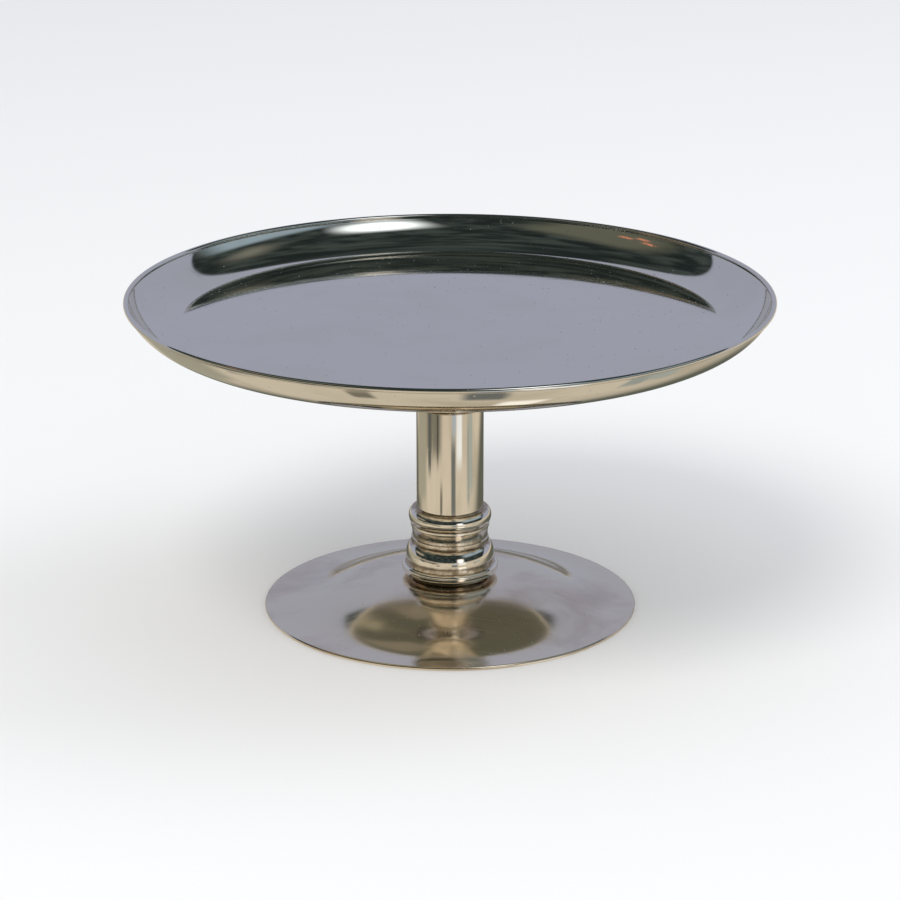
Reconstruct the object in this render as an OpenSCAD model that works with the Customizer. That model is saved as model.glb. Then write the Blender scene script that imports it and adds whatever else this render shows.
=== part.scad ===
// Footed offering plate: a shallow round plate on a slim stem and a low spun foot.
// The stem is drawn down on the foot by a loose turned knop that works as a union nut:
// unscrewing the knop lifts the plate and stem straight off the foot.
// Millimetres, +Z up, origin at the centre of the face that the foot rests on.

/* [Plate] */
// Diameter over the lip
plate_d = 300; // [260:5:340]
// Height of the lip above the table
overall_h = 152; // [145:1:200]
// Thickness of the spun sheet
plate_t = 1; // [0.8:0.1:1.4]
// Depth of the flat well below the lip
well_depth = 15.5; // [12:0.1:18]
// Slope of the curved wall where it meets the lip, in degrees
wall_slope = 66; // [50:1:75]
// Thickness of the rolled lip
lip_t = 2.4; // [2.2:0.1:3]
// Diameter of the wire that the lip is rolled around
wire_d = 1; // [0.8:0.1:1.1]

/* [Stem] */
// Outside diameter of the stem tube
tube_d = 31.4; // [30:0.2:31.6]
// Wall thickness of the stem tube
tube_t = 1.2; // [1:0.1:1.6]
// Height of the middle of the bead ring near the top of the stem
ring_z = 103; // [90:1:115]
// Height of the bead ring
ring_h = 8; // [6:0.5:10]
// Diameter over the bead ring
ring_d = 38.8; // [37:0.2:41]

/* [Knop] */
// Height of the knop's underside
knop_z = 15; // [15:0.1:15.3]
// Height of the knop's top edge
knop_top = 48.6; // [48:0.2:52]
// Diameter over the knop's lowest and widest ring
knop_d = 45.4; // [44:0.2:47]
// Diameter over the knop's upper bead
knop_bead_d = 38.8; // [38:0.2:41]
// Diameter of the knop's neck where it is narrowest
knop_neck_d = 35; // [34.5:0.1:36]

/* [Foot] */
// Diameter over the foot
foot_d = 175; // [150:1:190]
// Thickness of the spun foot
foot_t = 1.6; // [1.4:0.1:1.8]
// Width of the flat band that rests on the table
foot_flat = 6; // [4:0.5:8]
// Height of the foot's level top, under the knop
foot_h = 14.8; // [14:0.1:14.8]
// Diameter where the domed middle of the foot turns into the hollow sweep of its rim
foot_turn_d = 118; // [110:1:126]

/* [Screws] */
// Outside diameter of the coupling thread between the spigot and the knop
thread_d = 35.6; // [35.2:0.1:35.8]
// Diameter of the tie rod
rod_d = 6; // [5:0.5:6]
// Diameter of the spigot's threaded tail
tail_d = 10; // [8:1:10]

/* [Hidden] */
$fn = 96;

arc_steps = 12;
cut = 1;
fit = 0.06;

silver = [0.80, 0.78, 0.73];
foot_silver = [0.70, 0.68, 0.67];
brass = [0.78, 0.62, 0.33];
steel = [0.55, 0.56, 0.58];
fibre = [0.45, 0.16, 0.10];

// Plate: the wall's middle line is one arc, level where it leaves the well, up to the lip
plate_r = plate_d / 2;
well_z = overall_h - well_depth;
lip_r = lip_t / 2;
lip_c = [plate_r - lip_r, overall_h - lip_r];
wall_rise = lip_c[1] - (well_z - plate_t / 2);
wall_r = wall_rise / (1 - cos(wall_slope));
wall_c = [lip_c[0] - wall_r * sin(wall_slope), lip_c[1] + wall_r * cos(wall_slope)];
wall_in = wall_r - plate_t / 2;
wall_out = wall_r + plate_t / 2;
lip_blend = lip_r + 0.1;
wall_end_a = wall_slope - 90 - lip_blend / wall_r * 180 / PI;
roll_open = asin(plate_t / 2 / lip_r);
roll_steps = 32;
seam_w = 0.3;
seam_a = -40;

// Boss that carries the plate on the stem
plate_under = well_z - plate_t;
boss_flange_t = 2;
boss_flange_r = 26;
boss_len = 14;
tube_r = tube_d / 2;
tube_in = tube_r - tube_t;
tube_top = plate_under - boss_flange_t;
plug_r = tube_in - 0.05;
rod_r = rod_d / 2;
rod_grip = 11;

// Flange at the foot of the tube, clamped by the tie rod
thread_r = thread_d / 2;
thread_top = 24;
washer_t = 0.8;
flange_z = thread_top + washer_t;
flange_t = 2;
flange_r = thread_r - 0.2;
flange_plug_h = 12;
tie_washer_t = 1.2;
tie_washer_r = 6;
tie_nut_h = 5;
tie_nut_af = 10;
rod_end = 0.6;

// Knop: radii and heights of its turned outline, from the skirt up to the bead
knop_r = knop_d / 2;
skirt_r = 19.4;
skirt_top = 17.2;
band_round = 1.3;
band_top = 21.2;
fillet_r = 20.9;
fillet_top = 23.6;
ovolo_r = 17.8;
ovolo_top = 31.8;
line_r = 18.2;
line_top = 34.2;
neck_r = knop_neck_d / 2;
neck_top_r = 18.1;
neck_top = 39.6;
lip_line_r = 18.5;
lip_line_top = 40.8;
bead_r = knop_bead_d / 2;
bead_z = 44.5;
bead_v = knop_top - bead_z;
bead_root = 16.4;
knop_shoulder = flange_z + flange_t + 0.1;

// Foot: a dome and a hollow sweep that meet at one slope
foot_r = foot_d / 2;
foot_seat_r = 22;
foot_turn_r = foot_turn_d / 2;
foot_flat_r = foot_r - foot_flat;
foot_a = 2 * atan((foot_h - foot_t) / (foot_flat_r - foot_seat_r));
dome_r = (foot_turn_r - foot_seat_r) / sin(foot_a);
sweep_r = (foot_flat_r - foot_turn_r) / sin(foot_a);

// Spigot and the nut that holds it to the foot
tail_r = tail_d / 2;
tail_end = 4;
cup_r = 9.5;
cup_floor = 17.5;
foot_washer_r = 16;
foot_washer_t = 1.8;
foot_nut_af = 17;
foot_nut_h = 5.5;

// Points on an arc about c, from angle a to angle b, with separate radii in x and y
function arc(c, rx, ry, a, b, steps = arc_steps) =
    [for (i = [0:steps]) let (t = a + (b - a) * i / steps) c + [rx * cos(t), ry * sin(t)]];

module nut(af, h, bore_r) {
    difference() {
        cylinder(r = af / 2 / cos(30), h = h, $fn = 6);
        translate([0, 0, -cut])
            cylinder(r = bore_r, h = h + 2 * cut);
    }
}

module washer(r_in, r_out, t) {
    rotate_extrude()
        translate([r_in, 0])
            square([r_out - r_in, t]);
}

module plate() {
    inner = arc(wall_c, wall_in, wall_in, -90, wall_end_a);
    roll = arc(lip_c, lip_r, lip_r, wall_slope + 180 - roll_open,
        wall_slope - 180 + roll_open, roll_steps);
    outer = arc(wall_c, wall_out, wall_out, wall_end_a, -90);
    color(silver)
        rotate_extrude($fn = 180)
            difference() {
                polygon(concat([[0, well_z]], inner, roll, outer, [[0, plate_under]]));
                translate(lip_c)
                    circle(d = wire_d + 0.04, $fn = 32);
                translate(lip_c)
                    rotate(seam_a)
                        translate([0, -seam_w / 2])
                            square([lip_t, seam_w]);
            }
}

module rim_wire() {
    color(brass)
        rotate_extrude($fn = 180)
            translate(lip_c)
                circle(d = wire_d, $fn = 32);
}

module plate_boss() {
    color(silver)
        difference() {
            union() {
                translate([0, 0, tube_top])
                    cylinder(r = boss_flange_r, h = boss_flange_t);
                translate([0, 0, tube_top - boss_len])
                    cylinder(r = plug_r, h = boss_len);
            }
            translate([0, 0, tube_top - boss_len - cut])
                cylinder(r = rod_r + 0.02, h = rod_grip + cut + 1);
        }
}

module stem_tube() {
    color(silver)
        translate([0, 0, flange_z + flange_t])
            washer(tube_in, tube_r, tube_top - flange_z - flange_t);
}

module upper_ring() {
    root = tube_r + 0.02;
    fillet_h = 0.7;
    low = ring_z - ring_h / 2;
    color(silver)
        rotate_extrude()
            polygon(concat(
                [[root, low - fillet_h], [root + 1.3, low - fillet_h], [root + 1.3, low]],
                arc([root + 0.6, ring_z], ring_d / 2 - root - 0.6, ring_h / 2, -90, 90),
                [[root, ring_z + ring_h / 2]]));
}

module tube_flange() {
    color(brass)
        difference() {
            union() {
                translate([0, 0, flange_z])
                    cylinder(r = flange_r, h = flange_t);
                translate([0, 0, flange_z])
                    cylinder(r = plug_r, h = flange_t + flange_plug_h);
            }
            translate([0, 0, flange_z - cut])
                cylinder(r = rod_r + 0.1, h = flange_t + flange_plug_h + 2 * cut);
        }
}

module tie_rod() {
    low = flange_z - tie_washer_t - tie_nut_h - rod_end;
    color(steel)
        translate([0, 0, low])
            cylinder(r = rod_r, h = tube_top - boss_len + rod_grip - low);
}

module tie_washer() {
    color(steel)
        translate([0, 0, flange_z - tie_washer_t])
            washer(rod_r + 0.1, tie_washer_r, tie_washer_t);
}

module tie_nut() {
    color(steel)
        translate([0, 0, flange_z - tie_washer_t - tie_nut_h])
            nut(tie_nut_af, tie_nut_h, rod_r + 0.02);
}

module knop() {
    skirt = [[skirt_r, knop_z], [skirt_r, skirt_top]];
    band = concat(
        arc([knop_r - band_round, skirt_top + band_round], band_round, band_round, -90, 0),
        arc([knop_r - band_round, band_top - band_round], band_round, band_round, 0, 90));
    ovolo = arc([ovolo_r, fillet_top], fillet_r - ovolo_r, ovolo_top - fillet_top, 0, 90);
    bead_low = asin((lip_line_top - bead_z) / bead_v);
    bead = arc([bead_root, bead_z], bead_r - bead_root, bead_v, bead_low, 90);
    color(silver)
        rotate_extrude()
            polygon(concat(
                [[thread_r + fit, knop_z]],
                skirt,
                band,
                [[fillet_r, band_top], [fillet_r, fillet_top]],
                ovolo,
                [[line_r, ovolo_top], [line_r, line_top]],
                [[neck_r, line_top], [neck_top_r, neck_top]],
                [[lip_line_r, neck_top], [lip_line_r, lip_line_top]],
                bead,
                [[tube_r + fit, knop_top],
                 [tube_r + fit, knop_shoulder],
                 [thread_r + fit, knop_shoulder]]));
}

module foot() {
    dome_c = [foot_seat_r, foot_h - dome_r];
    sweep_c = [foot_flat_r, foot_t + sweep_r];
    dome_in = dome_r - foot_t;
    sweep_out = sweep_r + foot_t;
    color(foot_silver)
        rotate_extrude($fn = 180)
            polygon(concat(
                [[tail_r + 0.15, foot_h]],
                arc(dome_c, dome_r, dome_r, 90, 90 - foot_a),
                arc(sweep_c, sweep_r, sweep_r, -90 - foot_a, -90),
                arc([foot_r - foot_t / 2, foot_t / 2], foot_t / 2, foot_t / 2, 90, -90),
                arc(sweep_c, sweep_out, sweep_out, -90, -90 - foot_a),
                arc(dome_c, dome_in, dome_in, 90 - foot_a, 90),
                [[tail_r + 0.15, foot_h - foot_t]]));
}

module spigot() {
    color(brass)
        difference() {
            union() {
                translate([0, 0, foot_h])
                    cylinder(r = thread_r, h = thread_top - foot_h);
                translate([0, 0, tail_end])
                    cylinder(r = tail_r, h = foot_h - tail_end + cut);
            }
            translate([0, 0, cup_floor])
                cylinder(r = cup_r, h = thread_top - cup_floor + cut);
        }
}

module seat_washer() {
    color(fibre)
        translate([0, 0, thread_top])
            washer(cup_r, thread_r - 0.6, washer_t);
}

module foot_washer() {
    color(steel)
        translate([0, 0, foot_h - foot_t - foot_washer_t])
            washer(tail_r + 0.15, foot_washer_r, foot_washer_t);
}

module foot_nut() {
    color(steel)
        translate([0, 0, foot_h - foot_t - foot_washer_t - foot_nut_h])
            nut(foot_nut_af, foot_nut_h, tail_r + 0.02);
}

plate();
rim_wire();
plate_boss();
stem_tube();
upper_ring();
tube_flange();
tie_rod();
tie_washer();
tie_nut();
knop();
foot();
spigot();
seat_washer();
foot_washer();
foot_nut();
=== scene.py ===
"""The looks of a footed offering plate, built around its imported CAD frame.

Every metal piece is turned on one axis, so each is a lathe mesh of a rounded outline. The
surroundings that the mirror finish reflects are seen by glossy rays only. Lengths are metres.
"""

import math

import bpy
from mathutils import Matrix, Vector


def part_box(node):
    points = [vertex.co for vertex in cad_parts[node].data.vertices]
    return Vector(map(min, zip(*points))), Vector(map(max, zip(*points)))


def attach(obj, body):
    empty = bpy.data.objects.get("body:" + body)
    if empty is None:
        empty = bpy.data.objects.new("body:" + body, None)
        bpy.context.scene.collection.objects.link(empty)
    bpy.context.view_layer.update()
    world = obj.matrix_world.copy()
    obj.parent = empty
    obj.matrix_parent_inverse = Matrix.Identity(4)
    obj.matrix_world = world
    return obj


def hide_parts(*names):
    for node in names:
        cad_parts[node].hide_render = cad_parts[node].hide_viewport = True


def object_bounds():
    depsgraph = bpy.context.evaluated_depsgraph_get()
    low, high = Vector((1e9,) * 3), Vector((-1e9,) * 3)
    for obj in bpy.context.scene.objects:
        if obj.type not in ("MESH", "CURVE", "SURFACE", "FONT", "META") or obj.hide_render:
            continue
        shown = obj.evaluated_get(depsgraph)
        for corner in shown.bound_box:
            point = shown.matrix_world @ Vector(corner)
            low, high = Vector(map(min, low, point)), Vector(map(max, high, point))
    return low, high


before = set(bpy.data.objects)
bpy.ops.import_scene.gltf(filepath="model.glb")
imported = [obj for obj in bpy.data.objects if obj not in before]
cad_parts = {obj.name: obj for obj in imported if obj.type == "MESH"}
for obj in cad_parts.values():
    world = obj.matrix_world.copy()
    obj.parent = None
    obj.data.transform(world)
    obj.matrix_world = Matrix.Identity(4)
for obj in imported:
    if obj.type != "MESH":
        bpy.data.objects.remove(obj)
cad_box = [list(corner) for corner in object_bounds()]

MM = 0.001
TOP, KNOP, FOOT = "top_assembly", "knop_nut", "foot_assembly"
SEGMENTS = 288
TURN = 2 * math.pi


# ---------------------------------------------------------------- outlines

def arc(centre, radii, start, end, steps=12):
    """Points on an elliptical arc about centre, in the (radius, height) plane, in degrees."""
    points = []
    for i in range(steps + 1):
        a = math.radians(start + (end - start) * i / steps)
        points.append((centre[0] + radii[0] * math.cos(a), centre[1] + radii[1] * math.sin(a)))
    return points


def ladder(radius, low, high, step):
    """Points up a straight bore or shaft, close enough together to carry a thread."""
    count = max(1, round((high - low) / step))
    return [(radius, low + (high - low) * i / count) for i in range(count + 1)]


def rounded(points, radius, corner=25, steps=3):
    """The outline with each corner sharper than corner degrees turned into a small arc."""
    made = []
    count = len(points)
    for i, p in enumerate(points):
        here = Vector(p)
        back = Vector(points[i - 1]) - here
        ahead = Vector(points[(i + 1) % count]) - here
        if here.x < 1e-7 or back.length < 1e-9 or ahead.length < 1e-9:
            made.append(p)
            continue
        opening = back.angle(ahead)
        if math.pi - opening < math.radians(corner):
            made.append(p)
            continue
        reach = min(radius / math.tan(opening / 2), 0.42 * back.length, 0.42 * ahead.length)
        start = here + back.normalized() * reach
        end = here + ahead.normalized() * reach
        for k in range(steps + 1):
            t = k / steps
            bent = start * (1 - t) ** 2 + here * 2 * t * (1 - t) + end * t ** 2
            made.append((bent.x, bent.y))
    return made


def counter_clockwise(points):
    """The outline in the direction that puts its outside on the right-hand side."""
    area = 0.0
    for (r0, z0), (r1, z1) in zip(points, points[1:] + points[:1]):
        area += r0 * z1 - r1 * z0
    return points if area > 0 else points[::-1]


def outline_normals(points):
    """One normal for each outline point, weighted by the length of the sides that meet there."""
    normals = []
    count = len(points)
    for i, (r, z) in enumerate(points):
        total = Vector((0.0, 0.0))
        for a, b in ((i - 1, i), (i, (i + 1) % count)):
            dr = points[b][0] - points[a][0]
            dz = points[b][1] - points[a][1]
            on_axis = points[a][0] < 1e-7 and points[b][0] < 1e-7
            if not on_axis:
                total += Vector((dz, -dr))
        normals.append(total.normalized() if total.length > 0 else Vector((0.0, 1.0)))
    return normals


def hollow_depth(points, window=3.5 * MM):
    """How far each outline point lies inside the widest point near it, as a share of 2.5 mm."""
    shares = []
    for r, z in points:
        widest = max(other for other, height in points if abs(height - z) < window)
        shares.append(min(1.0, (widest - r) / (2.5 * MM)))
    return shares


# ---------------------------------------------------------------- meshes

def thread(root, depth, pitch, low, high):
    """A shape for lathe(): a right-hand helical ridge on the face at radius root."""
    def shape(angle, r, z):
        if abs(r - root) > 1e-6 or not low <= z <= high:
            return r
        phase = (z / pitch - angle / TURN) % 1
        ridge = min(1.0, max(0.0, (1 - abs(2 * phase - 1) - 0.15) / 0.7))
        fade = min(1.0, (z - low) / pitch, (high - z) / pitch)
        return r + depth * ridge * fade
    return shape


def hexagon(across_flats, low, high, chamfer):
    """A shape for lathe(): the outer face at any radius past the flats becomes a chamfered hexagon."""
    inner = across_flats / 2

    def shape(angle, r, z):
        if r < inner * 0.9:
            return r
        off_flat = (angle + TURN / 12) % (TURN / 6) - TURN / 12
        from_end = min(z - low, high - z)
        limit = inner / math.cos(TURN / 12) - max(0.0, chamfer - from_end) * 1.7
        return min(inner / math.cos(off_flat), limit)
    return shape


def lathe(name, points, segments=SEGMENTS, shape=None, grooved=False):
    """A closed mesh turned from an outline of (radius, height) points.

    A grooved piece records how deep each point lies in its hollows, for the tarnish there.
    """
    points = counter_clockwise(points)
    normals = outline_normals(points)
    depths = hollow_depth(points) if grooved else [0.0] * len(points)
    verts, vert_normals, hollows, rings = [], [], [], []
    for (r, z), n, depth in zip(points, normals, depths):
        if r < 1e-7:
            rings.append([len(verts)] * segments)
            verts.append((0.0, 0.0, z))
            vert_normals.append((0.0, 0.0, math.copysign(1.0, n.y)))
            hollows.append(depth)
            continue
        rings.append(list(range(len(verts), len(verts) + segments)))
        for i in range(segments):
            a = TURN * i / segments
            reach = shape(a, r, z) if shape else r
            verts.append((reach * math.cos(a), reach * math.sin(a), z))
            vert_normals.append((n.x * math.cos(a), n.x * math.sin(a), n.y))
            hollows.append(depth)
    faces = []
    for k, ring in enumerate(rings):
        following = rings[(k + 1) % len(rings)]
        if ring[0] == ring[1] and following[0] == following[1]:
            continue
        for i in range(segments):
            j = (i + 1) % segments
            face = []
            for v in (ring[i], ring[j], following[j], following[i]):
                if v not in face:
                    face.append(v)
            faces.append(face)
    mesh = bpy.data.meshes.new(name)
    mesh.from_pydata(verts, [], faces)
    mesh.shade_smooth()
    if shape:
        mesh.set_sharp_from_angle(angle=math.radians(38))
    else:
        mesh.normals_split_custom_set_from_vertices(vert_normals)
    hollow = mesh.attributes.new("hollow", "FLOAT", "POINT")
    hollow.data.foreach_set("value", hollows)
    piece = bpy.data.objects.new(name, mesh)
    bpy.context.scene.collection.objects.link(piece)
    return piece


def fit(piece, node, body, material):
    """The piece stands for a CAD node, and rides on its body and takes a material."""
    piece.data.materials.append(material)
    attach(piece, body)
    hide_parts(node)


def ring_outline(inner, outer, low, high):
    return [(inner, low), (outer, low), (outer, high), (inner, high)]


# ---------------------------------------------------------------- material nodes

def new_material(name):
    material = bpy.data.materials.new(name)
    material.use_nodes = True
    tree = material.node_tree
    return material, tree, tree.nodes["Principled BSDF"]


def add(tree, kind, inputs=None, **settings):
    """A node with its settings, and its inputs linked to sockets or set to values."""
    made = tree.nodes.new(kind)
    for key, value in settings.items():
        setattr(made, key, value)
    for key, value in (inputs or {}).items():
        if isinstance(value, bpy.types.NodeSocket):
            tree.links.new(value, made.inputs[key])
        else:
            made.inputs[key].default_value = value
    return made


def calc(tree, operation, a, b=0.0, clamp=False):
    return add(tree, "ShaderNodeMath", {0: a, 1: b}, operation=operation, use_clamp=clamp).outputs[0]


def remap(tree, value, low, high, new_low=0.0, new_high=1.0):
    inputs = {"Value": value, "From Min": low, "From Max": high, "To Min": new_low, "To Max": new_high}
    return add(tree, "ShaderNodeMapRange", inputs, interpolation_type="SMOOTHSTEP").outputs["Result"]


def noise(tree, vector, scale, detail=2.0, roughness=0.5, distortion=0.0):
    inputs = {"Vector": vector, "Scale": scale, "Detail": detail,
              "Roughness": roughness, "Distortion": distortion}
    return add(tree, "ShaderNodeTexNoise", inputs).outputs["Fac"]


def mix_colour(tree, share, first, second):
    made = add(tree, "ShaderNodeMix", {"Factor": share}, data_type="RGBA")
    for socket, value in ((made.inputs[6], first), (made.inputs[7], second)):
        if isinstance(value, bpy.types.NodeSocket):
            tree.links.new(value, socket)
        else:
            socket.default_value = (*value, 1.0)
    return made.outputs[2]


def object_position(tree):
    return add(tree, "ShaderNodeTexCoord").outputs["Object"]


def scratches(tree, position, turn, length=18.0, width=900.0):
    """Sparse straight hairlines that run at turn degrees across the surface, from 0 to 1."""
    mapped = add(tree, "ShaderNodeMapping", {"Vector": position,
                 "Rotation": (0.3, 0.0, math.radians(turn)), "Scale": (length, width, length)})
    lines = noise(tree, mapped.outputs["Vector"], 1.0, detail=1.0, distortion=0.25)
    return remap(tree, lines, 0.66, 0.74)


def spin_lines(tree, position, scale):
    """Fine rings left by turning and polishing, from 0 to 1."""
    split = add(tree, "ShaderNodeSeparateXYZ", {0: position})
    x, y, z = split.outputs
    radius = calc(tree, "SQRT", calc(tree, "ADD", calc(tree, "MULTIPLY", x, x),
                                     calc(tree, "MULTIPLY", y, y)))
    around = add(tree, "ShaderNodeCombineXYZ", {0: calc(tree, "ADD", radius, z),
                 1: calc(tree, "MULTIPLY", x, 0.01), 2: calc(tree, "MULTIPLY", y, 0.01)})
    return noise(tree, around.outputs[0], scale, detail=3.0, roughness=0.6)


def specks(tree, position, scale, size):
    """Sparse grains of dust, from 0 to 1."""
    cells = add(tree, "ShaderNodeTexVoronoi", {"Vector": position, "Scale": scale, "Randomness": 1.0})
    grain = remap(tree, cells.outputs["Distance"], size, size * 0.5)
    chosen = add(tree, "ShaderNodeSeparateColor", {0: cells.outputs["Color"]}).outputs[0]
    return calc(tree, "MULTIPLY", grain, remap(tree, chosen, 0.80, 0.84))


def silver(name, clean, stain, haze, wear, smear, dust):
    """Polished silver plate. haze is its base roughness, wear its scratches, smear its smudges."""
    material, tree, shader = new_material(name)
    position = object_position(tree)
    hollow = add(tree, "ShaderNodeAttribute", attribute_name="hollow").outputs["Fac"]
    clouds = noise(tree, position, 24.0, detail=4.0, roughness=0.6, distortion=0.4)
    smudges = remap(tree, clouds, 0.42, 0.72, 0.0, smear)
    fine = noise(tree, position, 210.0, detail=3.0, roughness=0.7)
    rings = spin_lines(tree, position, 1500.0)
    lines = calc(tree, "ADD", scratches(tree, position, 20), scratches(tree, position, 75))
    lines = calc(tree, "ADD", lines, scratches(tree, position, 140, 30.0, 1300.0), clamp=True)
    grains = specks(tree, position, 330.0, 0.16)

    in_hollow = remap(tree, calc(tree, "MULTIPLY", hollow, fine), 0.14, 0.46, 0.0, 0.75)
    tarnish = calc(tree, "MAXIMUM", smudges, in_hollow)
    colour = mix_colour(tree, tarnish, clean, stain)
    colour = mix_colour(tree, calc(tree, "MULTIPLY", grains, dust), colour, (0.62, 0.60, 0.56))
    tree.links.new(colour, shader.inputs["Base Color"])
    shader.inputs["Metallic"].default_value = 1.0

    rough = calc(tree, "ADD", haze, calc(tree, "MULTIPLY", rings, 0.04 * wear))
    rough = calc(tree, "ADD", rough, calc(tree, "MULTIPLY", lines, 0.10 * wear))
    rough = calc(tree, "ADD", rough, calc(tree, "MULTIPLY", tarnish, 0.16))
    rough = calc(tree, "ADD", rough, calc(tree, "MULTIPLY", grains, 0.6 * dust))
    tree.links.new(rough, shader.inputs["Roughness"])

    waves = noise(tree, position, 26.0, detail=0.5)
    height = calc(tree, "ADD", calc(tree, "MULTIPLY", waves, 0.020),
                  calc(tree, "MULTIPLY", rings, 0.00035 * wear))
    height = calc(tree, "SUBTRACT", height, calc(tree, "MULTIPLY", lines, 0.0015 * wear))
    height = calc(tree, "ADD", height, calc(tree, "MULTIPLY", grains, 0.04 * dust))
    bump = add(tree, "ShaderNodeBump", {"Strength": 1.0, "Distance": MM, "Height": height})
    tree.links.new(bump.outputs["Normal"], shader.inputs["Normal"])
    return material


def turned_metal(name, colour, dark, roughness):
    """Unplated turned metal with tool marks and a dull, mottled skin."""
    material, tree, shader = new_material(name)
    position = object_position(tree)
    marks = spin_lines(tree, position, 2600.0)
    mottle = noise(tree, position, 160.0, detail=4.0, roughness=0.65)
    tree.links.new(mix_colour(tree, remap(tree, mottle, 0.38, 0.7), colour, dark),
                   shader.inputs["Base Color"])
    shader.inputs["Metallic"].default_value = 1.0
    rough = calc(tree, "ADD", roughness, calc(tree, "MULTIPLY", mottle, 0.22))
    tree.links.new(rough, shader.inputs["Roughness"])
    bump = add(tree, "ShaderNodeBump", {"Strength": 0.5, "Distance": 0.02 * MM, "Height": marks})
    tree.links.new(bump.outputs["Normal"], shader.inputs["Normal"])
    return material


def red_fibre(name):
    """Vulcanised fibre: dense, matt, with short pale hairs in it."""
    material, tree, shader = new_material(name)
    position = object_position(tree)
    hairs = scratches(tree, position, 35, 200.0, 2500.0)
    blotch = noise(tree, position, 420.0, detail=4.0)
    base = mix_colour(tree, blotch, (0.30, 0.075, 0.045), (0.42, 0.13, 0.08))
    tree.links.new(mix_colour(tree, calc(tree, "MULTIPLY", hairs, 0.4), base, (0.55, 0.30, 0.22)),
                   shader.inputs["Base Color"])
    tree.links.new(remap(tree, blotch, 0.2, 0.8, 0.55, 0.8), shader.inputs["Roughness"])
    bump = add(tree, "ShaderNodeBump", {"Strength": 0.6, "Distance": 0.05 * MM, "Height": blotch})
    tree.links.new(bump.outputs["Normal"], shader.inputs["Normal"])
    return material


# ---------------------------------------------------------------- stage

def stage_object(name, mesh_or_light, glossy_only=False):
    made = bpy.data.objects.new(name, mesh_or_light)
    bpy.context.scene.collection.objects.link(made)
    if glossy_only:
        made.visible_camera = False
        made.visible_diffuse = False
        made.visible_shadow = False
        made.visible_transmission = False
        made.visible_volume_scatter = False
    return made


def disc_mesh(name, radius, height=0.0, centre=(0.0, 0.0), sides=96):
    verts = [(centre[0] + radius * math.cos(TURN * i / sides),
              centre[1] + radius * math.sin(TURN * i / sides), height) for i in range(sides)]
    mesh = bpy.data.meshes.new(name)
    mesh.from_pydata(verts, [], [list(range(sides))])
    return mesh


def emitter(name, colour, strength):
    material = bpy.data.materials.new(name)
    material.use_nodes = True
    tree = material.node_tree
    tree.nodes.clear()
    glow = add(tree, "ShaderNodeEmission", {"Color": (*colour, 1.0), "Strength": strength})
    out = add(tree, "ShaderNodeOutputMaterial", {"Surface": glow.outputs[0]})
    material.cycles.emission_sampling = "NONE"
    return material, tree, glow


def make_floor():
    material, tree, shader = new_material("studio_floor")
    grain = noise(tree, object_position(tree), 900.0, detail=3.0)
    tree.links.new(mix_colour(tree, grain, (0.80, 0.80, 0.79), (0.84, 0.84, 0.835)),
                   shader.inputs["Base Color"])
    shader.inputs["Roughness"].default_value = 0.9
    shader.inputs["Specular IOR Level"].default_value = 0.1
    floor = stage_object("studio_floor", disc_mesh("studio_floor", 40.0))
    floor.data.materials.append(material)
    floor.visible_glossy = False


def make_table_reflection():
    """The warm table top that the polished metal mirrors, in place of the white floor.

    Its dark streaks are painted shadows and dark neighbours, its bright streaks painted highlights, and
    its shade disc is the plate's painted shadow behind the object.
    """
    material, tree, glow = emitter("table_reflection", TABLE_LIGHT, 1.0)
    position = object_position(tree)
    split = add(tree, "ShaderNodeSeparateXYZ", {0: position})
    x, y = split.outputs[0], split.outputs[1]
    azimuth = calc(tree, "ARCTAN2", x, calc(tree, "MULTIPLY", y, -1.0))
    radius = add(tree, "ShaderNodeVectorMath", {0: position}, operation="LENGTH").outputs["Value"]
    patches = noise(tree, position, 7.0, detail=4.0, distortion=0.6)
    colour = mix_colour(tree, remap(tree, patches, 0.42, 0.72), TABLE_LIGHT, TABLE_DARK)
    # Painted shadow of the plate on the reflected table, centred behind the object.
    from_shade = add(tree, "ShaderNodeVectorMath", {0: position, 1: SHADE_CENTRE}, operation="DISTANCE")
    shade = remap(tree, from_shade.outputs["Value"], SHADE_RADIUS * 1.2, SHADE_RADIUS * 0.7)
    colour = mix_colour(tree, shade, colour, SHADE_COLOUR)
    # Painted shadows and painted highlights laid over the reflected table.
    for middle, spread, near, far, streak in TABLE_SHADOW_AND_GLINT_STREAKS:
        away = calc(tree, "ABSOLUTE", calc(tree, "SUBTRACT", azimuth, math.radians(middle)))
        across = remap(tree, away, math.radians(spread) * 1.35, math.radians(spread) * 0.65)
        along = calc(tree, "MULTIPLY", remap(tree, radius, near * 0.92, near * 1.08),
                     remap(tree, radius, far * 1.10, far * 0.90))
        colour = mix_colour(tree, calc(tree, "MULTIPLY", across, along), colour, streak)
    tree.links.new(colour, glow.inputs["Color"])
    table = stage_object("table_reflection", disc_mesh("table_reflection", 40.0, -0.5 * MM), True)
    table.data.materials.append(material)


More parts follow.
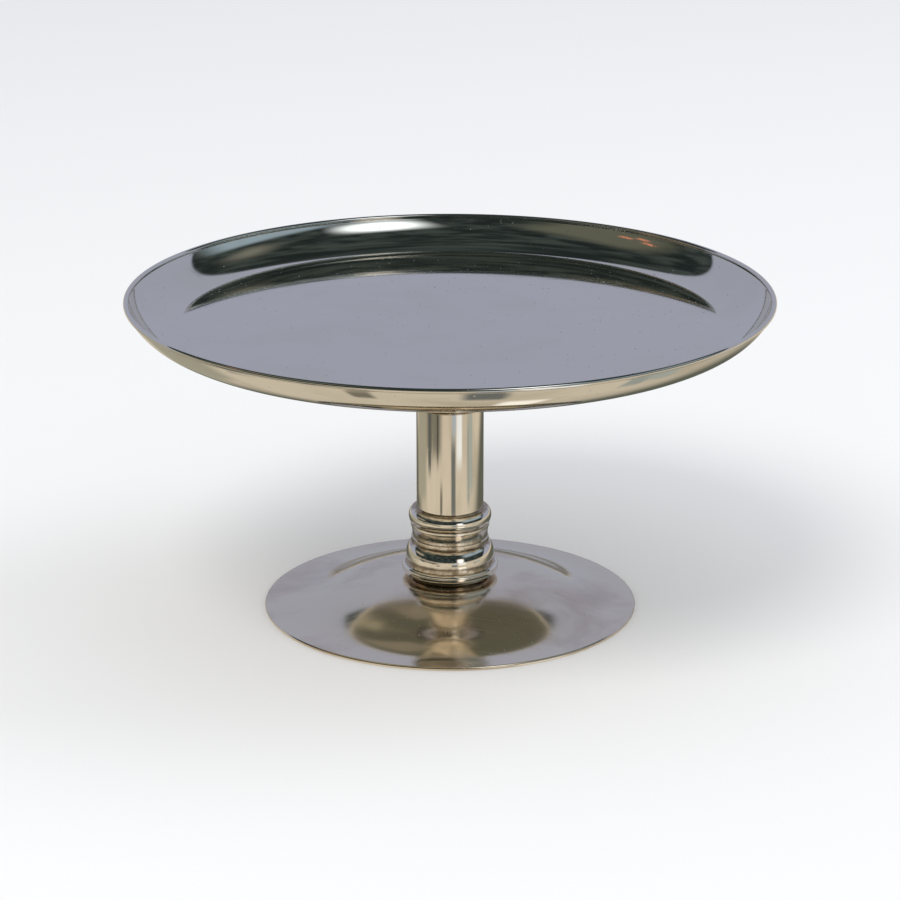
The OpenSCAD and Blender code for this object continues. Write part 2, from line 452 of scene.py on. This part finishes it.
def make_dome():
    """Surroundings for the mirror finish: a pale wall low down and dark foliage above it."""
    bpy.ops.mesh.primitive_uv_sphere_add(segments=96, ring_count=48, radius=DOME_RADIUS)
    dome = bpy.context.object
    dome.name = "reflection_dome"
    dome.visible_camera = False
    dome.visible_diffuse = False
    dome.visible_shadow = False
    material, tree, glow = emitter("reflection_dome", PALE_WALL, 1.0)
    position = object_position(tree)
    direction = add(tree, "ShaderNodeVectorMath", {0: position}, operation="NORMALIZE").outputs[0]
    split = add(tree, "ShaderNodeSeparateXYZ", {0: direction})
    edge_noise = noise(tree, direction, 5.0, detail=4.0)
    wall_top = remap(tree, split.outputs[1], -0.05, 0.75, WALL_TOP_FRONT, WALL_TOP_BACK)
    ragged = calc(tree, "MULTIPLY", calc(tree, "SUBTRACT", edge_noise, 0.5), 0.22)
    ragged = calc(tree, "MULTIPLY", ragged, remap(tree, split.outputs[1], 0.3, -0.3))
    over = calc(tree, "SUBTRACT", split.outputs[2], calc(tree, "ADD", wall_top, ragged))
    leaves = noise(tree, direction, 7.0, detail=4.0, roughness=0.5)
    foliage = mix_colour(tree, remap(tree, leaves, 0.38, 0.68), LEAF_DARK, LEAF_LIGHT)
    wall_shade = noise(tree, direction, 1.5, detail=1.0)
    wall = mix_colour(tree, wall_shade, PALE_WALL, PALE_WALL_SHADE)
    colour = mix_colour(tree, remap(tree, over, -0.02, 0.02), wall, foliage)
    tree.links.new(colour, glow.inputs["Color"])
    dome.data.materials.append(material)


def card(name, azimuth, elevation, width, height, colour, strength, distance=4.0, edge=0.5):
    """A soft-edged glowing panel that faces the object. Azimuth 0 is at the camera's side, +X is 90."""
    a, e = math.radians(azimuth), math.radians(elevation)
    towards = Vector((math.sin(a) * math.cos(e), -math.cos(a) * math.cos(e), math.sin(e)))
    mesh = bpy.data.meshes.new(name)
    mesh.from_pydata([(-1, -1, 0), (1, -1, 0), (1, 1, 0), (-1, 1, 0)], [], [(0, 1, 2, 3)])
    # Seen by glossy rays only: the panel is a painted reflection, not a lamp.
    panel = stage_object(name, mesh, True)
    panel.location = towards * distance
    panel.rotation_euler = towards.to_track_quat("Z", "Y").to_euler()
    panel.scale = (width / 2, height / 2, 1.0)
    material, tree, glow = emitter(name, colour, strength)
    split = add(tree, "ShaderNodeSeparateXYZ", {0: object_position(tree)})
    share = 1.0
    for socket in split.outputs[:2]:
        share = calc(tree, "MULTIPLY", share, remap(tree, calc(tree, "ABSOLUTE", socket), 1.0, 1 - edge))
    clear = add(tree, "ShaderNodeBsdfTransparent")
    mixed = add(tree, "ShaderNodeMixShader", {0: share, 1: clear.outputs[0], 2: glow.outputs[0]})
    out = next(n for n in tree.nodes if n.type == "OUTPUT_MATERIAL")
    tree.links.new(mixed.outputs[0], out.inputs["Surface"])
    panel.data.materials.append(material)


def area_light(name, location, target, size, energy, colour):
    data = bpy.data.lights.new(name, "AREA")
    data.shape = "DISK"
    data.size = size
    data.energy = energy
    data.color = colour
    light = stage_object(name, data)
    light.location = location
    light.rotation_euler = (Vector(target) - Vector(location)).to_track_quat("-Z", "Y").to_euler()
    light.visible_glossy = False
    light.visible_camera = False


TABLE_LIGHT = (0.64, 0.57, 0.455)
TABLE_DARK = (0.50, 0.44, 0.34)
# The plate's painted shadow on the reflected table: centre, radius and colour.
SHADE_CENTRE = (0.03, 0.19, 0.0)
SHADE_RADIUS = 0.23
SHADE_COLOUR = (0.12, 0.124, 0.098)
# Dark streaks are painted shadows and dark neighbours, bright ones painted highlights, all seen only in
# reflections. Middle and half width in degrees round from the camera's side, near and far radius,
# colour.
TABLE_SHADOW_AND_GLINT_STREAKS = (
    (-160, 9, 0.13, 0.26, (0.26, 0.24, 0.195)),
    (-108, 24, 0.17, 2.00, (0.38, 0.36, 0.28)),
    (-56, 28, 0.25, 0.90, (0.21, 0.20, 0.155)),
    (-70, 6, 0.22, 0.60, (0.12, 0.125, 0.115)),
    (-40, 3, 0.24, 0.45, (0.09, 0.08, 0.07)),
    (-27, 4, 0.15, 0.20, (0.20, 0.18, 0.14)),
    (13, 7, 0.15, 0.28, (0.16, 0.17, 0.16)),
    (15, 6, 0.29, 0.80, (0.42, 0.50, 0.58)),
    (31, 9, 0.09, 0.13, (1.15, 1.10, 1.00)),
    (33, 9, 0.24, 1.20, (0.92, 0.95, 0.97)),
    (66, 5, 0.17, 0.32, (0.34, 0.36, 0.33)),
    (76, 7, 0.19, 0.34, (0.40, 0.43, 0.39)),
)
PALE_WALL = (0.352, 0.382, 0.48)
PALE_WALL_SHADE = (0.375, 0.40, 0.50)
LEAF_DARK = (0.016, 0.023, 0.023)
LEAF_LIGHT = (0.052, 0.066, 0.062)
WALL_TOP_BACK = 0.66
WALL_TOP_FRONT = -0.05
DOME_RADIUS = 9.0
CAMERA_PLACE = (0.0472, -1.498, 0.569)
CAMERA_LENS = 135.0

scene = bpy.context.scene
scene.view_settings.view_transform = "Standard"

# ---------------------------------------------------------------- camera

camera_data = bpy.data.cameras.new("camera")
camera_data.sensor_width = 36.0
camera_data.lens = CAMERA_LENS
camera = bpy.data.objects.new("camera", camera_data)
scene.collection.objects.link(camera)
camera.location = CAMERA_PLACE
aim = Vector((0.0, 0.0, cad_box[1][2] / 2))
camera.rotation_euler = (aim - camera.location).to_track_quat("-Z", "Y").to_euler()
scene.camera = camera

# ---------------------------------------------------------------- studio

world = bpy.data.worlds.new("studio")
scene.world = world
world.use_nodes = True
world.node_tree.nodes["Background"].inputs["Color"].default_value = (0.93, 0.95, 1.0, 1.0)
world.node_tree.nodes["Background"].inputs["Strength"].default_value = 0.85
make_floor()
make_table_reflection()
make_dome()
area_light("key", (-0.9, -1.6, 2.6), (0, 0, 0), 1.6, 38.0, (1.0, 0.97, 0.92))
area_light("fill", (1.8, 0.6, 1.8), (0, 0, 0), 1.8, 14.0, (0.92, 0.95, 1.0))
# Glowing panels seen only in reflections: painted highlights and painted reflections of the
# surroundings.
card("window", 37, 55, 2.6, 2.2, (0.88, 0.95, 1.0), 3.0, edge=1.0)
card("pale_sky", 74, 31, 8.0, 2.6, (0.31, 0.40, 0.47), 1.0, 5.0, edge=0.5)
card("tan_high", 115, 50, 3.0, 1.4, (0.20, 0.20, 0.17), 1.0, 4.5, edge=1.0)
card("hedge_left", -72, 46, 6.0, 4.0, (0.125, 0.13, 0.10), 1.0, 5.0, edge=0.6)
card("tan_left", -88, 14, 2.8, 0.8, (0.36, 0.31, 0.24), 1.0)
card("low_glint", 29, 6, 1.7, 1.5, (1.0, 0.97, 0.92), 1.7, edge=0.8)
for brick_azimuth, brick_elevation in ((-80, 42), (-86, 38), (-94, 42)):
    card("brick", brick_azimuth, brick_elevation, 0.45, 0.26, (0.80, 0.33, 0.20), 0.8)

# ---------------------------------------------------------------- materials

plate_silver = silver("plate_silver", (0.84, 0.81, 0.75), (0.52, 0.42, 0.29),
                      haze=0.035, wear=0.5, smear=0.10, dust=0.7)
stem_silver = silver("stem_silver", (0.92, 0.87, 0.79), (0.30, 0.20, 0.10),
                     haze=0.05, wear=0.7, smear=0.12, dust=0.2)
foot_silver = silver("foot_silver", (0.88, 0.80, 0.68), (0.62, 0.50, 0.43),
                     haze=0.11, wear=0.7, smear=0.60, dust=0.3)
brass = turned_metal("turned_brass", (0.62, 0.42, 0.17), (0.36, 0.23, 0.09), roughness=0.30)
steel = turned_metal("zinc_steel", (0.50, 0.51, 0.53), (0.36, 0.36, 0.35), roughness=0.34)
fibre = red_fibre("red_fibre")

# ---------------------------------------------------------------- plate

plate_low, plate_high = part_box("plate")
sheet = 1.0 * MM
lip_r = 1.2 * MM
wire_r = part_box("rim_wire")[1].z - (plate_high.z - lip_r)
lip = Vector((plate_high.x - lip_r, plate_high.z - lip_r))
well_z = plate_low.z + sheet
wall_slope = 66.0
wall_r = (lip.y - well_z + sheet / 2) / (1 - math.cos(math.radians(wall_slope)))
wall_c = (lip.x - wall_r * math.sin(math.radians(wall_slope)),
          lip.y + wall_r * math.cos(math.radians(wall_slope)))
seam_angle = -40.0
seam_half = 5.0
wall_end = wall_slope - 90 - math.degrees((lip_r + 0.1 * MM) / wall_r)
roll_open = math.degrees(math.asin(sheet / 2 / lip_r))

roll = arc(lip, (lip_r, lip_r), wall_slope + 180 - roll_open, seam_angle + seam_half, 34)
roll += arc(lip, (lip_r * 0.55, lip_r * 0.55), seam_angle + seam_half, seam_angle - seam_half, 1)
roll += arc(lip, (lip_r, lip_r), seam_angle - seam_half, wall_slope - 180 + roll_open, 8)
well_steps = [(wall_c[0] * i / 10, well_z) for i in range(10)]
under_steps = [(wall_c[0] * i / 10, plate_low.z) for i in range(9, -1, -1)]
plate_outline = (well_steps
                 + arc(wall_c, (wall_r - sheet / 2,) * 2, -90, wall_end, 48)
                 + roll
                 + arc(wall_c, (wall_r + sheet / 2,) * 2, wall_end, -90, 40)
                 + under_steps)
fit(lathe("plate_sheet", plate_outline, 384), "plate", TOP, plate_silver)
fit(lathe("lip_wire", arc(lip, (wire_r, wire_r), 0, 345, 23), 384), "rim_wire", TOP, brass)

# ---------------------------------------------------------------- stem

tube_low, tube_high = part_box("stem_tube")
tube_r = tube_high.x
tube_wall = 1.2 * MM
tube_outline = rounded(ring_outline(tube_r - tube_wall, tube_r, tube_low.z, tube_high.z), 0.2 * MM)
fit(lathe("stem_tube_skin", tube_outline), "stem_tube", TOP, stem_silver)

boss_low, boss_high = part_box("plate_boss")
plug_r = tube_r - tube_wall - 0.05 * MM
rod_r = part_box("tie_rod")[1].x
rod_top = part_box("tie_rod")[1].z
boss_outline = [(0.0, boss_high.z), (boss_high.x, boss_high.z), (boss_high.x, tube_high.z),
                (plug_r, tube_high.z), (plug_r, boss_low.z), (rod_r + 0.02 * MM, boss_low.z),
                (rod_r + 0.02 * MM, rod_top + MM), (0.0, rod_top + MM)]
boss = lathe("boss_under_plate", rounded(boss_outline, 0.4 * MM))
fit(boss, "plate_boss", TOP, stem_silver)

ring_low, ring_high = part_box("upper_ring")
ring_root = tube_r + 0.02 * MM
ring_fillet = 0.7 * MM
ring_bottom = ring_low.z + ring_fillet
ring_mid = (ring_bottom + ring_high.z) / 2
bead_in = ring_root + 0.6 * MM
ring_shape = ([(ring_root, ring_low.z), (ring_root + 1.3 * MM, ring_low.z),
               (ring_root + 1.3 * MM, ring_bottom)]
              + arc((bead_in, ring_mid), (ring_high.x - bead_in, ring_high.z - ring_mid), -90, 90, 32)
              + [(ring_root, ring_high.z)])
stem_ring = lathe("stem_ring", rounded(ring_shape, 0.2 * MM), grooved=True)
fit(stem_ring, "upper_ring", TOP, stem_silver)

flange_low, flange_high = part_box("tube_flange")
flange_outline = [(rod_r + 0.1 * MM, flange_low.z), (flange_high.x, flange_low.z),
                  (flange_high.x, tube_low.z), (plug_r, tube_low.z), (plug_r, flange_high.z),
                  (rod_r + 0.1 * MM, flange_high.z)]
fit(lathe("captive_flange", rounded(flange_outline, 0.3 * MM)), "tube_flange", TOP, brass)

# ---------------------------------------------------------------- tie rod and its nut

rod_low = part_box("tie_rod")[0].z
rod_pitch = 1.0 * MM
rod_cut = 0.55 * MM
rod_thread = 16 * MM
core = rod_r - rod_cut
rod_outline = ([(0.0, rod_low)] + ladder(core, rod_low, rod_low + rod_thread, rod_pitch / 10)
               + [(rod_r, rod_low + rod_thread), (rod_r, rod_top - rod_thread)]
               + ladder(core, rod_top - rod_thread, rod_top, rod_pitch / 10) + [(0.0, rod_top)])
rod_low_thread = thread(core, rod_cut, rod_pitch, rod_low, rod_low + rod_thread)
rod_high_thread = thread(core, rod_cut, rod_pitch, rod_top - rod_thread, rod_top)


def rod_shape(angle, r, z):
    return rod_high_thread(angle, rod_low_thread(angle, r, z), z)


fit(lathe("tie_rod_threaded", rod_outline, 72, rod_shape), "tie_rod", TOP, steel)

washer_low, washer_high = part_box("tie_washer")
washer_outline = ring_outline(rod_r + 0.1 * MM, washer_high.x, washer_low.z, washer_high.z)
fit(lathe("tie_rod_washer", rounded(washer_outline, 0.2 * MM), 96), "tie_washer", TOP, steel)


def hex_nut(name, node, body, bore, across_flats):
    low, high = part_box(node)
    corner_r = across_flats / 2 / math.cos(TURN / 12)
    height = high.z - low.z
    side = ladder(corner_r, low.z, high.z, height / 16)
    outline = [(bore, low.z), (bore + 0.4 * corner_r, low.z)] + side
    outline += [(bore + 0.4 * corner_r, high.z), (bore, high.z)]
    shape = hexagon(across_flats, low.z, high.z, height * 0.16)
    fit(lathe(name, outline, 144, shape), node, body, steel)


tie_nut_flats = 10 * MM
hex_nut("tie_rod_nut", "tie_nut", TOP, rod_r + 0.02 * MM, tie_nut_flats)

# ---------------------------------------------------------------- knop

knop_low, knop_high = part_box("knop")
knop_r = knop_high.x
spigot_r = 17.8 * MM
clearance = 0.06 * MM
bore_r = spigot_r + clearance
shoulder_z = tube_low.z + 0.1 * MM
pitch = 1.5 * MM
skirt_r, skirt_top = 19.4 * MM, 17.2 * MM
band_round, band_top = 1.3 * MM, 21.2 * MM
fillet_r, fillet_top = 20.9 * MM, 23.6 * MM
ovolo_r, ovolo_top = 17.8 * MM, 31.8 * MM
line_r, line_top = 18.2 * MM, 34.2 * MM
neck_r, neck_top_r, neck_top = 17.5 * MM, 18.1 * MM, 39.6 * MM
lip_line_r, lip_line_top = 18.5 * MM, 40.8 * MM
bead_r, bead_root, bead_z = 19.4 * MM, 16.4 * MM, 44.5 * MM
bead_v = knop_high.z - bead_z
bead_low = math.degrees(math.asin((lip_line_top - bead_z) / bead_v))
knop_outline = (
    [(skirt_r, knop_low.z), (skirt_r, skirt_top)]
    + arc((knop_r - band_round, skirt_top + band_round), (band_round,) * 2, -90, 0, 8)
    + arc((knop_r - band_round, band_top - band_round), (band_round,) * 2, 0, 90, 8)
    + [(fillet_r, band_top), (fillet_r, fillet_top)]
    + arc((ovolo_r, fillet_top), (fillet_r - ovolo_r, ovolo_top - fillet_top), 0, 90, 28)
    + [(line_r, ovolo_top), (line_r, line_top), (neck_r, line_top), (neck_top_r, neck_top)]
    + [(lip_line_r, neck_top), (lip_line_r, lip_line_top)]
    + arc((bead_root, bead_z), (bead_r - bead_root, bead_v), bead_low, 90, 28)
    + [(tube_r + clearance, knop_high.z), (tube_r + clearance, shoulder_z)])
knop_outline = rounded(knop_outline, 0.22 * MM)
knop_outline += ladder(bore_r, knop_low.z, shoulder_z, pitch / 12)[::-1]
knop_thread = thread(bore_r, 0.6 * MM, pitch, knop_low.z, shoulder_z - MM)
union_knop = lathe("union_knop", knop_outline, SEGMENTS, knop_thread, grooved=True)
fit(union_knop, "knop", KNOP, stem_silver)

# ---------------------------------------------------------------- foot

foot_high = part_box("foot")[1]
foot_r, foot_top = foot_high.x, foot_high.z
foot_sheet = 1.6 * MM
seat_r, turn_r, flat_r = 22 * MM, 59 * MM, foot_r - 6 * MM
tail_r = 5.0 * MM
slope = 2 * math.atan((foot_top - foot_sheet) / (flat_r - seat_r))
dome_r = (turn_r - seat_r) / math.sin(slope)
sweep_r = (flat_r - turn_r) / math.sin(slope)
lean = math.degrees(slope)
dome_c = (seat_r, foot_top - dome_r)
sweep_c = (flat_r, foot_sheet + sweep_r)
edge_c = (foot_r - foot_sheet / 2, foot_sheet / 2)
foot_outline = ([(tail_r + 0.15 * MM, foot_top)]
                + arc(dome_c, (dome_r,) * 2, 90, 90 - lean, 32)
                + arc(sweep_c, (sweep_r,) * 2, -90 - lean, -90, 24)
                + arc(edge_c, (foot_sheet / 2,) * 2, 90, -90, 12)
                + arc(sweep_c, (sweep_r + foot_sheet,) * 2, -90, -90 - lean, 20)
                + arc(dome_c, (dome_r - foot_sheet,) * 2, 90 - lean, 90, 24)
                + [(tail_r + 0.15 * MM, foot_top - foot_sheet)])
fit(lathe("foot_spun", foot_outline, 384), "foot", FOOT, foot_silver)

# ---------------------------------------------------------------- spigot

spigot_low, spigot_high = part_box("spigot")
spigot_cut = 0.75 * MM
spigot_root = spigot_r - spigot_cut - 0.05 * MM
cup_r, cup_floor = 9.5 * MM, 17.5 * MM
tail_cut, tail_pitch = 0.7 * MM, 1.5 * MM
tail_root = tail_r - tail_cut
spigot_outline = (
    [(0.0, spigot_low.z)] + ladder(tail_root, spigot_low.z, foot_top - MM, tail_pitch / 12)
    + [(tail_r, foot_top - MM), (tail_r, foot_top)]
    + [(spigot_r, foot_top), (spigot_r, foot_top + 0.5 * MM)]
    + ladder(spigot_root, foot_top + 0.7 * MM, spigot_high.z, pitch / 12)
    + [(cup_r, spigot_high.z), (cup_r, cup_floor), (0.0, cup_floor)])
spigot_thread = thread(spigot_root, spigot_cut, pitch, foot_top + 0.7 * MM, spigot_high.z)
tail_thread = thread(tail_root, tail_cut, tail_pitch, spigot_low.z, foot_top - MM)


def spigot_shape(angle, r, z):
    return tail_thread(angle, spigot_thread(angle, r, z), z)


fit(lathe("threaded_spigot", spigot_outline, SEGMENTS, spigot_shape), "spigot", FOOT, brass)

seat_low, seat_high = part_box("seat_washer")
seat_outline = ring_outline(cup_r, seat_high.x, seat_low.z, seat_high.z)
fit(lathe("stem_seat_washer", rounded(seat_outline, 0.15 * MM)), "seat_washer", FOOT, fibre)

under_low, under_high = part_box("foot_washer")
under_outline = ring_outline(tail_r + 0.15 * MM, under_high.x, under_low.z, under_high.z)
fit(lathe("under_foot_washer", rounded(under_outline, 0.3 * MM)), "foot_washer", FOOT, steel)
foot_nut_flats = 17 * MM
hex_nut("under_foot_nut", "foot_nut", FOOT, tail_r + 0.02 * MM, foot_nut_flats)
